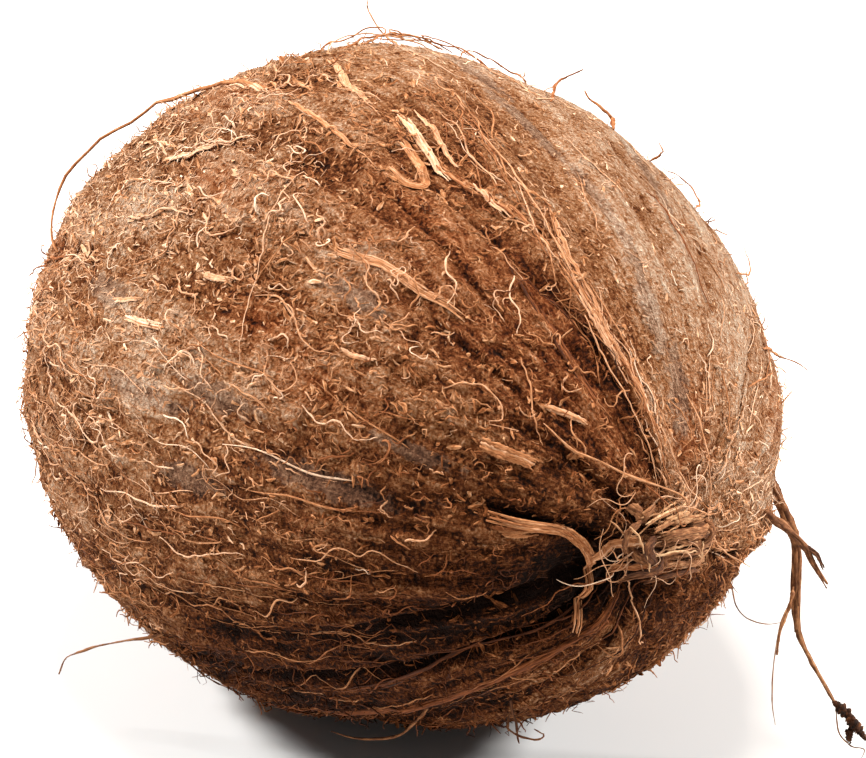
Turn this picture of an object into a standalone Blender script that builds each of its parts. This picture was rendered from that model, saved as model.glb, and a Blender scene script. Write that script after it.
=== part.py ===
"""A whole dehusked coconut lying on its side, as one solid.

The nut with its matted coat of husk fibre is an ovoid about +X, its long axis, with the eyes and the
fibre tuft over them at +X and the crown end at -X. Three keels run from end to end, where the seams of
the fruit's three carpels are: one lies on top and the other two beside the underside, so the nut rests on
the face between them. Metres, +Z up, origin under the middle of the nut on the surface it lies on.
"""

import math

import bmesh
import bpy
from mathutils import Vector

# Driving dimensions of the ovoid under the keels and lumps.
HALF_LENGTH = 0.0630
HALF_WIDTH = 0.0538
HALF_HEIGHT = 0.0494
TAPER = 0.085  # share by which the eye end is narrower than the middle, and the crown end wider
CENTRE_X = -0.0010  # of the ovoid, which the tuft at +X makes unequal about the origin
FOOT_DEPTH = 0.0008  # thickness of coat that is pressed flat under the nut
FOOT_CALM = 0.022  # distance from the foot's middle over which the lumps and veins die away

# The keels, by their turn round +X from the top, towards -Y.
KEEL_TURNS = (5, 138, -113)
KEEL_HEIGHT = 0.0013
KEEL_SPREAD = 7.5  # degrees of turn from a keel's crest to its flank
FURROW_DEPTH = 0.0006  # of the shallow trough along each side of a keel
FURROW_SPREAD = 16
KEEL_FADE = 0.7  # power of the sine by which the keels die away towards both ends
KEEL_FULL_ANGLE = 32  # from the eye end, where the keels stand full height
KEEL_FULL_SPREAD = 36
CROWN_KEEL = 0.3  # share of the keels' height that is left towards the crown
FACE_FLATNESS = 0.0007  # by which the faces between the keels lie inside the ovoid

# Lumps of the matted coat: height, and waves per metre along X, Y and Z.
LUMPS = (
    (0.00030, (14, 12, 9)),
    (0.00022, (-9, 21, 16)),
    (0.00016, (11, -19, 34)),
    (0.00010, (23, 41, -28)),
)

# Veins that run from end to end under the coat: height, how many round the nut, and how far they twist.
VEINS = (
    (0.00018, 11, 25),
    (0.00014, 17, -40),
    (0.00010, 26, 55),
)

# The hollow over the soft eye, beside the tuft.
HOLLOW_ANGLE = 9  # from the eye end, in degrees
HOLLOW_TURN = 152
HOLLOW_DEPTH = 0.0030
HOLLOW_RADIUS = 0.0050

RINGS = 40
SEGMENTS = 84

# The tuft: strands side by side that bridge the eye end, from the +Y side to the -Y side.
TUFT_STRANDS = 7
TUFT_HALF_HEIGHT = 0.0042
TUFT_ROOT_Y = 0.0062
TUFT_END_Y = -0.0064
TUFT_RAGGED = 0.3  # share by which the shortest strand is cut back
TUFT_ARCH = 0.0030  # how far the strands stand off the eye end
STRAND_RADIUS = 0.00095
STRAND_SINK = 0.0012  # depth of a strand's root in the coat
STRAND_POINTS = 6
GOLDEN = 0.618  # its multiples, less their whole parts, are spread evenly


def turn_gap(turn, other):
    """Degrees between two turns, the short way round."""
    return (turn - other + 180) % 360 - 180


def bell(distance, spread):
    """One at no distance, falling off smoothly over the spread."""
    return math.exp(-((distance / spread) ** 2))


def keel_lift(angle, turn):
    """How far the keels, furrows and flat faces move the surface, outwards."""
    lift = -FACE_FLATNESS * (0.5 - 0.5 * math.cos(math.radians(3 * (turn - KEEL_TURNS[0]))))
    full = CROWN_KEEL + (1 - CROWN_KEEL) * bell(angle - KEEL_FULL_ANGLE, KEEL_FULL_SPREAD)
    for keel in KEEL_TURNS:
        gap = turn_gap(turn, keel)
        lift += full * (KEEL_HEIGHT + FURROW_DEPTH) * bell(gap, KEEL_SPREAD)
        lift -= full * FURROW_DEPTH * bell(gap, FURROW_SPREAD)
    return lift * math.sin(math.radians(angle)) ** KEEL_FADE


def lump_lift(place):
    """Sum of the lumps' waves at a place on the ovoid."""
    return sum(height * math.sin(Vector(waves).dot(place) * 2 * math.pi) for height, waves in LUMPS)


def vein_lift(angle, turn):
    """Sum of the veins' waves round the nut, which fade towards both ends."""
    waves = (
        height * math.cos(math.radians(count * turn + twist * math.cos(math.radians(angle))))
        for height, count, twist in VEINS
    )
    return sum(waves) * math.sin(math.radians(angle))


def on_ovoid(angle, turn):
    """The ovoid's point at an angle from +X and a turn round it, about the ovoid's centre, in degrees."""
    along = math.cos(math.radians(angle))
    ring = math.sin(math.radians(angle)) * (1 - TAPER * along)
    across, up = math.sin(math.radians(turn)), math.cos(math.radians(turn))
    return Vector((HALF_LENGTH * along, -HALF_WIDTH * ring * across, HALF_HEIGHT * ring * up))


def outward(place):
    """Unit normal of an ellipsoid of the ovoid's size, which is near enough the ovoid's own."""
    return Vector((place.x / HALF_LENGTH**2, place.y / HALF_WIDTH**2, place.z / HALF_HEIGHT**2)).normalized()


def on_coat(angle, turn):
    """The coat's surface: the ovoid moved along its normal by keels and lumps, with the eye's hollow."""
    place = on_ovoid(angle, turn)
    hollow = on_ovoid(HOLLOW_ANGLE, HOLLOW_TURN)
    calm = 1 - bell((place - LOWEST).length, FOOT_CALM)
    lift = keel_lift(angle, turn) + calm * (lump_lift(place) + vein_lift(angle, turn))
    lift -= HOLLOW_DEPTH * bell((place - hollow).length, HOLLOW_RADIUS)
    return place + outward(place) * lift


# The ovoid's lowest point, over the middle of the foot, and the level at which the floor cuts the coat.
LOWEST = min((on_ovoid(angle, 180) for angle in range(80, 110)), key=lambda place: place.z)
FLOOR_Z = LOWEST.z + FACE_FLATNESS + FOOT_DEPTH
CENTRE = Vector((CENTRE_X, 0, -FLOOR_Z))


def clear_scene():
    for obj in list(bpy.data.objects):
        bpy.data.objects.remove(obj, do_unlink=True)


def new_collection(name):
    made = bpy.data.collections.new(name)
    bpy.context.scene.collection.children.link(made)
    return made


def add_object(name, mesh, collection):
    made = bpy.data.objects.new(name, mesh)
    collection.objects.link(made)
    return made


def husk_material():
    """Matted coir: dull, dry, mid brown."""
    made = bpy.data.materials.new("coir_coat")
    made.use_nodes = True
    shader = made.node_tree.nodes["Principled BSDF"]
    shader.inputs["Base Color"].default_value = (0.235, 0.115, 0.052, 1)
    shader.inputs["Roughness"].default_value = 0.85
    shader.inputs["Metallic"].default_value = 0.0
    return made


def make_nut(collection):
    """A unit sphere whose vertices are carried to the coat, placed over the origin."""
    bm = bmesh.new()
    bmesh.ops.create_uvsphere(bm, u_segments=SEGMENTS, v_segments=RINGS, radius=1)
    for vertex in bm.verts:
        axis, side, up = vertex.co.z, vertex.co.x, vertex.co.y
        angle = math.degrees(math.acos(max(-1.0, min(1.0, axis))))
        turn = math.degrees(math.atan2(side, up))
        vertex.co = on_coat(angle, turn) + CENTRE
    bmesh.ops.recalc_face_normals(bm, faces=bm.faces)
    mesh = bpy.data.meshes.new("coconut")
    bm.to_mesh(mesh)
    bm.free()
    return add_object("coconut", mesh, collection)


def tuft_route(number):
    """Points of one tuft strand. Its row runs from -1 at the bottom of the tuft to +1 at the top."""
    row = 2 * number / (TUFT_STRANDS - 1) - 1
    cut_back = TUFT_RAGGED * (number * GOLDEN % 1)
    points = []
    for step in range(STRAND_POINTS):
        share = (1 - cut_back) * step / (STRAND_POINTS - 1)
        y = TUFT_ROOT_Y + (TUFT_END_Y - TUFT_ROOT_Y) * share
        z = row * TUFT_HALF_HEIGHT * (1 - 0.25 * share)
        skin = HALF_LENGTH * math.sqrt(1 - (y / HALF_WIDTH) ** 2 - (z / HALF_HEIGHT) ** 2)
        stand_off = TUFT_ARCH * math.sin(math.pi * (0.1 + 0.62 * share)) * (1 - 0.35 * row * row)
        points.append(Vector((skin - STRAND_SINK * (1 - share) + stand_off * share**0.5, y, z)) + CENTRE)
    return points


def make_strand(name, points, collection):
    """A round strand along the points, tapering to its free end, as a closed mesh."""
    curve = bpy.data.curves.new(name, "CURVE")
    curve.dimensions = "3D"
    curve.bevel_depth = STRAND_RADIUS
    curve.bevel_resolution = 1
    curve.use_fill_caps = True
    spline = curve.splines.new("POLY")
    spline.points.add(len(points) - 1)
    for step, (point, place) in enumerate(zip(spline.points, points)):
        point.co = (*place, 1)
        point.radius = 1 - 0.35 * step / (len(points) - 1)
    drawn = add_object(name, curve, collection)
    graph = bpy.context.evaluated_depsgraph_get()
    mesh = bpy.data.meshes.new_from_object(drawn.evaluated_get(graph))
    bm = bmesh.new()
    bm.from_mesh(mesh)
    bmesh.ops.remove_doubles(bm, verts=bm.verts, dist=1e-6)
    bmesh.ops.recalc_face_normals(bm, faces=bm.faces)
    bm.to_mesh(mesh)
    bm.free()
    solid = add_object(name, mesh, collection)
    solid.matrix_world = drawn.matrix_world
    bpy.data.objects.remove(drawn, do_unlink=True)
    solid.name = name
    return solid


def make_floor_block(collection):
    """The block under z 0 that takes off what would lie below the resting surface."""
    bm = bmesh.new()
    bmesh.ops.create_cube(bm, size=4 * HALF_LENGTH)
    bmesh.ops.translate(bm, verts=bm.verts, vec=(0, 0, -2 * HALF_LENGTH))
    mesh = bpy.data.meshes.new("floor_block")
    bm.to_mesh(mesh)
    bm.free()
    return add_object("floor_block", mesh, collection)


def helper(obj):
    """Keeps a tool shape out of renders."""
    obj.hide_render = True
    obj.display_type = "WIRE"
    return obj


def boolean(obj, tool, operation):
    modifier = obj.modifiers.new(f"{operation.lower()}_{tool.name}", "BOOLEAN")
    modifier.operation = operation
    modifier.object = tool
    modifier.solver = "EXACT"


def main():
    clear_scene()
    parts = new_collection("coconut_parts")
    tools = new_collection("coconut_tools")
    nut = make_nut(parts)
    for number in range(TUFT_STRANDS):
        strand = make_strand(f"tuft_strand_{number + 1}", tuft_route(number), tools)
        boolean(nut, helper(strand), "UNION")
    boolean(nut, helper(make_floor_block(tools)), "DIFFERENCE")
    nut.data.materials.append(husk_material())
    nut.data.shade_smooth()
    nut.data.set_sharp_from_angle(angle=math.radians(40))


main()
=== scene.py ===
"""Looks of the whole dehusked coconut: its matted coir coat, and the fibres that lie on it or stand off it.

A place on the nut is given by its angle from the eye end (+X), in degrees, and its turn round the long
axis, in degrees from the top towards the viewer's side (-Y). Lengths are in metres unless a name says mm.
"""

import functools
import math

import bpy
import numpy as np
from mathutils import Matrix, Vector


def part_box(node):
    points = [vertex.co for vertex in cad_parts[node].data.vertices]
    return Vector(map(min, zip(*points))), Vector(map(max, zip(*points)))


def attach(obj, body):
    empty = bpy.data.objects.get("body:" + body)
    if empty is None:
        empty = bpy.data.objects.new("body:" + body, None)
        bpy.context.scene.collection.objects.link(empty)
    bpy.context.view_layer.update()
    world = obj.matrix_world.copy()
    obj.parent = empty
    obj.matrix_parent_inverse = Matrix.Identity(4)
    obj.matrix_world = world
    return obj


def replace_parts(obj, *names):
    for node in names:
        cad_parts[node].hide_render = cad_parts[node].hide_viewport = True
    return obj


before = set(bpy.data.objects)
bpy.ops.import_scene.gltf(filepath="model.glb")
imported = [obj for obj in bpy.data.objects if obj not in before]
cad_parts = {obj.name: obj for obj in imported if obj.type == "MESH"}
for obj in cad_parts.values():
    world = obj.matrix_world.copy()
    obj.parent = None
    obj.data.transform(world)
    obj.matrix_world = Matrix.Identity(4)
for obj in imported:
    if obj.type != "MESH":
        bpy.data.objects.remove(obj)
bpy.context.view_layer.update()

MM = 0.001
FULL_TURN = 2 * math.pi

# The ovoid under the coat and its keels, as in the part's solid.
HALF_LENGTH, HALF_WIDTH, HALF_HEIGHT = 63.0 * MM, 53.8 * MM, 49.4 * MM
TAPER = 0.085
KEEL_SPREAD, FURROW_SPREAD, KEEL_FADE = 7.5, 16, 0.7
KEEL_HEIGHT, FURROW_DEPTH, FACE_FLATNESS = 1.3 * MM, 0.6 * MM, 0.7 * MM
FOOT_DEPTH, FOOT_CALM = 0.8 * MM, 22 * MM
# Lumps of the coat: height in mm, and waves per metre along X, Y and Z.
LUMPS = ((0.30, (14, 12, 9)), (0.22, (-9, 21, 16)), (0.16, (11, -19, 34)), (0.10, (23, 41, -28)))
# Angle and turn, depth and reach of the hollow over the soft eye, and of the one beside the tuft.
HOLLOWS = (((9, 152), 3.6 * MM, 5.2 * MM), ((15, 96), 2.6 * MM, 7 * MM))
# Painted shadow on the coat beside the tuft and under it, over its hollows: the tone taken off, angle and
# turn, and reach.
PAINTED_SHADOWS = ((0.4, (15, 96), 10 * MM), (0.3, (8, 124), 4.5 * MM))

HALF = np.array([HALF_LENGTH, HALF_WIDTH, HALF_HEIGHT])
MEAN_RADIUS = 54 * MM
MM_PER_DEGREE = math.radians(1) * MEAN_RADIUS / MM


# ---------------------------------------------------------------- fields on the nut

@functools.cache
def lattice(seed):
    """Random numbers from -1 to 1 at the corners of a block of 32 cubes each way."""
    return np.random.default_rng(seed).uniform(-1, 1, (32, 32, 32))


def noise(places, pitch, seed):
    """Smooth noise from -1 to 1: the lattice's numbers, at cubes of this pitch, blended across each cube
    along X, Y and Z by the curve 3s^2 - 2s^3."""
    scaled = np.asarray(places) / pitch
    cell = np.floor(scaled).astype(int)
    share = scaled - cell
    share = share * share * (3 - 2 * share)
    total = np.zeros(scaled.shape[:-1])
    for corner in np.ndindex(2, 2, 2):
        weight = np.where(corner, share, 1 - share).prod(axis=-1)
        at = (cell + corner) % 32
        total += weight * lattice(seed)[at[..., 0], at[..., 1], at[..., 2]]
    return total


def bell(distance, spread):
    """One at no distance, falling off as exp(-(distance / spread)^2)."""
    return np.exp(-((distance / spread) ** 2))


def between(value, low, high, soft):
    """One between low and high and none outside, with edges that are soft by the given amount."""
    return 1 / (1 + np.exp((low - value) / soft)) / (1 + np.exp((value - high) / soft))


def ramp_up(value, low, high):
    """None below low, one above high, and straight between them."""
    return np.clip((value - low) / (high - low), 0, 1)


def unit(vectors):
    """The vectors at length one."""
    return vectors / (np.linalg.norm(vectors, axis=-1, keepdims=True) + 1e-12)


def turn_gap(turn, other):
    """Degrees from one turn to another, the short way round."""
    return (turn - other + 180) % 360 - 180


def heading_to(angle, turn):
    """Unit vector from the nut's middle in the ovoid's own round space, for an angle and a turn."""
    angle, turn = np.radians(angle), np.radians(turn)
    ring = np.sin(angle)
    return np.stack(np.broadcast_arrays(np.cos(angle), -ring * np.sin(turn), ring * np.cos(turn)), axis=-1)


def angle_and_turn(heading):
    """The angle and turn of unit vectors."""
    angle = np.degrees(np.arccos(np.clip(heading[..., 0], -1, 1)))
    return angle, np.degrees(np.arctan2(-heading[..., 1], heading[..., 2]))


def keel_rise(angle):
    """Share of its full height that a keel has: full near the eyes and a third at the crown."""
    return 0.3 + 0.7 * bell(angle - 32, 36)


def top_keel(angle):
    """Turn of the top keel, which bows a little towards the viewer near the eyes."""
    return 8 - 0.003 * (angle - 30) ** 2


def low_keel(angle):
    """Turn of the keel under the viewer's side."""
    return 142 - 8 * bell(angle - 32, 25)


def far_keel(angle):
    """Turn of the keel under the far side."""
    return -113 + 0 * angle


def grain(heading, squeeze=7):
    """Coordinates in metres that are squeezed lengthwise, so that noise read from them runs end to end."""
    across = np.hypot(heading[..., 1], heading[..., 2]) + 1e-6
    blend = np.minimum(across / 0.25, 1)
    round_axis = heading[..., 1:] / across[..., None] * blend[..., None]
    lengthwise = np.arccos(np.clip(heading[..., 0], -1, 1)) / squeeze
    return np.concatenate([lengthwise[..., None], round_axis], axis=-1) * 50 * MM


def smooth_side(angle, turn):
    """One on the far upper face, where the coat is scraped flat and its fibres lie lengthwise."""
    return between(turn_gap(turn, -52), -50, 49, 3) * between(angle, 26, 112, 6)


def ragged_side(angle, turn):
    """One on the viewer's upper face, where the coat is torn into short curls."""
    return between(turn_gap(turn, 52), -38, 48, 5) * between(angle, 40, 190, 8)


def under_side(angle, turn):
    """One on the lower side, where the coat is painted darker, partly as shade and partly as its own darker
    brown, and furrowed lengthwise.
    """
    upper_edge = -34 + 26 * ramp_up(angle, 45, 85)
    return between(turn_gap(turn, 125), upper_edge, 70, 9) * between(angle, -30, 97, 10)


def lined_side(angle, turn):
    """One on the viewer's lower flank towards the eyes, and round below them, where the coat is drawn into
    fine ridges."""
    flank = between(turn_gap(turn, 92), -34, 30, 7) * between(angle, 12, 82, 8)
    below = between(turn_gap(turn, 155), -32, 45, 7) * between(angle, 10, 58, 8)
    return np.maximum(flank, below)


def beside_keel(angle, turn):
    """One beside the top keel on the viewer's side, where the coat is ribbed and a warmer, darker brown."""
    return bell(turn_gap(turn, 24), 17) * bell(angle - 38, 36)


# Furrows: the turn of each at its angles, its half width and depth, in mm.
FURROWS = (
    ((8, 18, 28, 40, 50), (13, 10, 10, 11, 12), 0.7, 0.9),
    ((46, 56, 64, 74, 84), (13, 14, 15, 15, 14), 0.5, 0.6),
    ((26, 38, 50, 62, 74), (26, 24, 24, 22, 21), 0.5, 0.7),
    ((30, 40, 50, 58), (36, 35, 35, 33), 0.5, 0.6),
    ((34, 44, 56, 66), (-22, -24, -25, -27), 0.4, 0.4),
    ((40, 52, 66, 80), (-34, -38, -41, -42), 0.4, 0.35),
    ((6, 20, 32, 44, 58), (-38, -53, -50, -57, -64), 0.4, 0.8),
    ((10, 18, 30, 52, 90), (122, 122, 121, 124, 128), 1.3, 2.2),
    ((8, 18, 30, 52), (104, 100, 104, 110), 1.2, 1.8),
    ((12, 24, 40, 60), (160, 152, 150, 150), 1.0, 1.6),
    ((8, 16, 26, 38), (80, 74, 70, 68), 1.0, 1.2),
    ((10, 22, 36), (-122, -118, -114), 0.8, 1.4),
    ((6, 14, 26, 40), (52, 44, 42, 44), 0.9, 1.0),
    ((60, 76, 92, 104), (24, 27, 28, 30), 0.7, 0.5),
)

# Patches where the smooth skin below is rubbed bare: angle, turn, half length and half width in mm.
BARE = (
    (84, 72, 8, 2.0), (72, 67, 7, 2.4), (74, 83, 6, 2.6), (54, 75, 11, 2.4), (26, -14, 8, 2.2),
    (38, -11, 9, 1.7), (56, -13, 13, 1.2), (76, -12, 11, 1.5), (92, -15, 9, 1.6), (68, -34, 12, 1.3),
    (44, 62, 6, 1.6), (98, 60, 6, 2.5), (88, -60, 14, 2.0), (60, -86, 12, 2.2), (120, 100, 9, 2.6),
    (130, 10, 8, 2.4), (100, -130, 13, 2.6), (70, 178, 11, 2.2), (62, 40, 5, 2.0), (140, -80, 9, 2.6),
)

# Reddish patches, in the same terms.
RUST = (
    (70, 52, 8, 4.5), (92, 36, 7, 4.0), (64, 20, 14, 3.5), (44, 15, 15, 3.5), (60, 58, 7, 4.0),
    (112, 20, 12, 6.0), (40, -75, 9, 4.0), (110, -60, 13, 6.0), (90, 150, 16, 7.0), (126, 60, 10, 6.0),
    (30, 20, 10, 3.0), (18, -20, 8, 4.0), (100, -160, 14, 6.0),
)

# Broad patches of painted light and shade, where the coat is made darker or paler to stand for how the light
# falls there: the tone added, then the same terms.
PAINTED_LIGHT_AND_SHADE = (
    (-0.16, 38, 66, 22, 18), (-0.12, 86, 4, 26, 14), (0.10, 106, 42, 26, 24),
    (0.05, 20, -100, 14, 14), (-0.32, 21, -137, 12, 9), (-0.10, 27, 51, 9, 7), (0.06, 20, -70, 12, 10),
)


def patches(angle, turn, table):
    """The strongest of the table's patches at each place: a bell in millimetres along and across the nut."""
    strongest = np.zeros_like(angle)
    for middle, turned, half_length, half_width in table:
        along = (angle - middle) * MM_PER_DEGREE / half_length
        across = turn_gap(turn, turned) * MM_PER_DEGREE * np.sin(np.radians(angle)) / half_width
        strongest = np.maximum(strongest, np.exp(-(along**2) - across**2))
    return strongest


def furrow_depth(angle, turn):
    """Depth in mm of the listed furrows: each is a bell across its line, and fades at its ends."""
    depth = np.zeros_like(angle)
    for angles, turns, half_width, deep in FURROWS:
        line = np.interp(angle, angles, turns)
        across = turn_gap(turn, line) * MM_PER_DEGREE * np.sin(np.radians(np.maximum(angle, 4)))
        begun = ramp_up(angle, angles[0] - 5, angles[0] + 6)
        ended = ramp_up(angle, angles[-1] - 9, angles[-1] + 4)
        depth += deep * bell(across, half_width) * (begun * (1 - ended))
    return depth


def ovoid(heading):
    """The ovoid's point about its middle: the half sizes times the unit vector, narrowed towards the eyes."""
    narrowed = 1 - TAPER * heading[..., :1]
    return heading * HALF * np.concatenate([np.ones_like(narrowed), narrowed, narrowed], axis=-1)


def near(place, spot, reach):
    """One at a spot given by angle and turn, falling off as a bell with the distance in metres."""
    return bell(np.linalg.norm(place - ovoid(heading_to(*spot)), axis=-1), reach)


LOWEST_SPOT = (94.9, 180)  # angle and turn of the ovoid's lowest point, over the foot
LOWEST = ovoid(heading_to(*LOWEST_SPOT))

# The ovoid's middle, from the solid's box: the crown end stands this proud of the ovoid, and the foot is
# the ovoid's lowest point, less the flat of the face there and the coat that is pressed under the nut.
CROWN_PROUD = 0.3 * MM
LOW, HIGH = (np.array(corner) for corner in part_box("coconut"))
MIDDLE = np.array([
    LOW[0] + CROWN_PROUD + HALF_LENGTH,
    (LOW[1] + HIGH[1]) / 2,
    LOW[2] - LOWEST[2] - FACE_FLATNESS - FOOT_DEPTH,
])


def coat(heading):
    """The matted coat over the ovoid, for unit vectors: its points, outward normals, and how high the fine
    relief stands there in mm. The ovoid is moved along its normal by keels, lumps, furrows and hollows, then
    by crumbs, which are sums of noise and of its size without sign, of 8 down to 1.3 mm, by pits where noise
    passes a level, by ribs of the grain, end to end, and by torn layers whose edges are steep. The crumbs and
    pits are lowest on the scraped, ribbed and bare coat. The ribs are highest below and near the eyes."""
    angle, turn = angle_and_turn(heading)
    place = ovoid(heading)
    normal = unit(place / HALF**2)
    fade = np.sin(np.radians(angle)) ** KEEL_FADE
    calm = 1 - near(place, LOWEST_SPOT, FOOT_CALM)
    lift = -FACE_FLATNESS * (0.5 - 0.5 * np.cos(np.radians(3 * (turn - 5)))) * fade
    for keel in (top_keel, low_keel, far_keel):
        gap = turn_gap(turn, keel(angle))
        rise = (KEEL_HEIGHT + FURROW_DEPTH) * bell(gap, KEEL_SPREAD) - FURROW_DEPTH * bell(gap, FURROW_SPREAD)
        lift += rise * fade * keel_rise(angle)
    for height, waves in LUMPS:
        lift += calm * (height * MM) * np.sin(FULL_TURN * place @ np.array(waves))
    for spot, depth, reach in HOLLOWS:
        lift -= depth * near(place, spot, reach)

    smooth, under = smooth_side(angle, turn), under_side(angle, turn)
    beside, lined = beside_keel(angle, turn), lined_side(angle, turn)
    rough = (1 - 0.66 * smooth) * (1 - 0.7 * beside) * (1 - 0.55 * lined)
    rough = rough * (1 - 0.75 * patches(angle, turn, BARE)) * (0.4 + 0.6 * calm)
    eaten = ramp_up(noise(place, 2.1 * MM, 3), 0.3, 0.6)
    torn = 0.22 * noise(place, 8 * MM, 4) + 0.22 * noise(place, 3.9 * MM, 5)
    torn += 0.55 * np.abs(noise(place, 2.1 * MM, 6)) + 0.55 * np.abs(noise(place, 1.3 * MM, 7)) - 0.3
    ribs = noise(grain(heading), 3.4 * MM, 8) + 0.8 * noise(grain(heading), 1.7 * MM, 9)
    ribbed = 0.14 + 0.34 * under + 0.30 * bell(angle - 20, 15) + 0.10 * smooth + 0.24 * beside + 0.26 * lined
    layers = 0.26 * np.clip(noise(grain(heading, 3), 5 * MM, 10) / 0.12, -1, 1) * calm * fade
    relief = rough * (torn - 0.38 * eaten) + ribbed * ribs * fade * calm + layers - furrow_depth(angle, turn)
    place = place + normal * (lift + relief * MM)[..., None] + MIDDLE
    place[..., 2] = np.maximum(place[..., 2], 0)
    return place, normal, relief


def coat_tone_and_painted_shade(heading):
    """Tone of the coat from 0, darkest, to 1, palest: blotches of noise of 16, 5 and 2 mm, paler on the
    scraped face, darker on the lower side, partly as painted shade, except in a spared part below the eyes,
    darker beside the top keel with painted shade in the furrow there, painted light and shade in broad
    patches, and painted shadow beside and under the tuft."""
    angle, turn = angle_and_turn(heading)
    place = ovoid(heading)
    tone = 0.64
    for weight, pitch, seed in ((0.045, 16, 61), (0.05, 5, 62), (0.05, 2, 63)):
        tone = tone + weight * noise(place, pitch * MM, seed)
    spared = 0.7 * bell(turn_gap(turn, 156), 34) * bell(angle - 24, 26)
    # The lower side is painted darker, partly as shade; the spared part below the eyes keeps more of its
    # tone.
    tone += 0.13 * smooth_side(angle, turn) - 0.43 * under_side(angle, turn) * (1 - spared)
    # The second term darkens the furrow beside the top keel: painted shade.
    tone -= 0.13 * beside_keel(angle, turn) + 0.26 * bell(turn_gap(turn, 11.5), 4.5) * bell(angle - 27, 12)
    # Painted light and shade in broad patches.
    for shade, *patch in PAINTED_LIGHT_AND_SHADE:
        tone += shade * patches(angle, turn, [patch])
    # Painted shadow beside and under the tuft.
    for shade, spot, reach in PAINTED_SHADOWS:
        tone -= shade * near(place, spot, reach)
    return tone


# ---------------------------------------------------------------- meshes

def one_row(values):
    """The values in one row of short floats, as a mesh takes them."""
    return np.ascontiguousarray(values, dtype=np.float32).ravel()


def mesh_piece(name, places, faces, face_uvs, material, smooth=True):
    """Puts vertices and faces, given as index arrays of one size of face each, into a mesh that rides on the
    nut and carries the material."""
    mesh = bpy.data.meshes.new(name)
    mesh.vertices.add(len(places))
    mesh.vertices.foreach_set("co", one_row(places))
    corners = np.concatenate([group.ravel() for group in faces])
    sizes = np.concatenate([np.full(len(group), group.shape[1]) for group in faces])
    mesh.loops.add(len(corners))
    mesh.loops.foreach_set("vertex_index", corners.astype(np.int32))
    mesh.polygons.add(len(sizes))
    mesh.polygons.foreach_set("loop_start", (np.cumsum(sizes) - sizes).astype(np.int32))
    mesh.update(calc_edges=True)
    (mesh.shade_smooth if smooth else mesh.shade_flat)()
    uv_map = mesh.uv_layers.new(name="OFBake")
    uv_map.data.foreach_set("uv", one_row(face_uvs))
    mesh.materials.append(material)
    made = bpy.data.objects.new(name, mesh)
    bpy.context.scene.collection.objects.link(made)
    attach(made, "root")
    return made


def add_field(piece, name, values):
    """Stores one number or one vector for each vertex, for the material to read."""
    kind, entry = ("FLOAT", "value") if values.ndim == 1 else ("FLOAT_VECTOR", "vector")
    field = piece.data.attributes.new(name, kind, "POINT")
    field.data.foreach_set(entry, one_row(values))


COAT_STEPS = 127  # squares along each edge of the six grids


def make_coat(material):
    """The coat as one closed skin. Each face of a cube is a grid of two parameters from -1 to 1, spread by
    the tangent so that its squares come out even on the ball, drawn in to unit length and carried to coat().
    The six grids are merged along the cube's edges."""
    line = np.tan(np.linspace(-1, 1, COAT_STEPS + 1) * math.pi / 4)
    first, second = np.meshgrid(line, line, indexing="ij")
    one = np.ones_like(first)
    sides = [
        np.stack(group, axis=-1)
        for group in (
            (one, first, second), (-one, second, first), (second, one, first),
            (first, -one, second), (first, second, one), (second, first, -one),
        )
    ]
    headings = unit(np.concatenate([side.reshape(-1, 3) for side in sides]))
    count = COAT_STEPS + 1
    corner = np.arange(COAT_STEPS)[:, None] * count + np.arange(COAT_STEPS)
    square = np.stack([corner, corner + count, corner + count + 1, corner + 1], axis=-1).reshape(-1, 4)
    squares = np.concatenate([square + side * count * count for side in range(6)])
    inset = np.linspace(0.01, 0.99, count)
    share = np.stack(np.meshgrid(inset, inset, indexing="ij"), axis=-1).reshape(-1, 2)
    atlas = np.concatenate([(share + (side % 3, side // 3)) / (3, 2) for side in range(6)])
    _, kept, merged = np.unique(np.round(headings, 6), axis=0, return_index=True, return_inverse=True)
    headings = headings[kept]
    places, _, relief = coat(headings)
    faces = merged.ravel()[squares]
    piece = mesh_piece("coir_coat", places, [faces], atlas[squares].reshape(-1, 2), material)
    angle, turn = angle_and_turn(headings)
    smooth, beside = smooth_side(angle, turn), beside_keel(angle, turn)
    add_field(piece, "height", relief)
    # The tone field carries the coat's painted light and shade as well as its own tone.
    add_field(piece, "tone", coat_tone_and_painted_shade(headings))
    add_field(piece, "bare", patches(angle, turn, BARE))
    add_field(piece, "rust", np.maximum(patches(angle, turn, RUST), 0.8 * beside))
    add_field(piece, "smooth", smooth)
    add_field(piece, "lined", np.maximum(np.maximum(0.8 * smooth, lined_side(angle, turn)), beside))
    for name, squeeze in (("along", 7), ("flaked", 2.2)):
        add_field(piece, name, grain(headings, squeeze))
    return piece


TONES = 48  # levels of tone that strands can have, each a column of the texture map
MAP_PER_MM = 0.03  # of the texture map's height for each mm of a strand


class Strands:
    """Strands of one number of steps: their routes and outward directions, strand by step by XYZ, half
    widths and half thicknesses, strand by step, and a tone for each strand."""

    def __init__(self, routes, outward, half_width, half_thickness, tone):
        self.routes = routes
        self.outward = np.broadcast_to(outward, routes.shape)
        self.half_width = np.broadcast_to(half_width, routes.shape[:2])
        self.half_thickness = np.broadcast_to(half_thickness, routes.shape[:2])
        self.tone = np.broadcast_to(tone, routes.shape[:1])


def joined(groups):
    """Several groups of strands as one."""
    names = ("routes", "outward", "half_width", "half_thickness", "tone")
    return Strands(*(np.concatenate([getattr(group, name) for group in groups]) for name in names))


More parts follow.
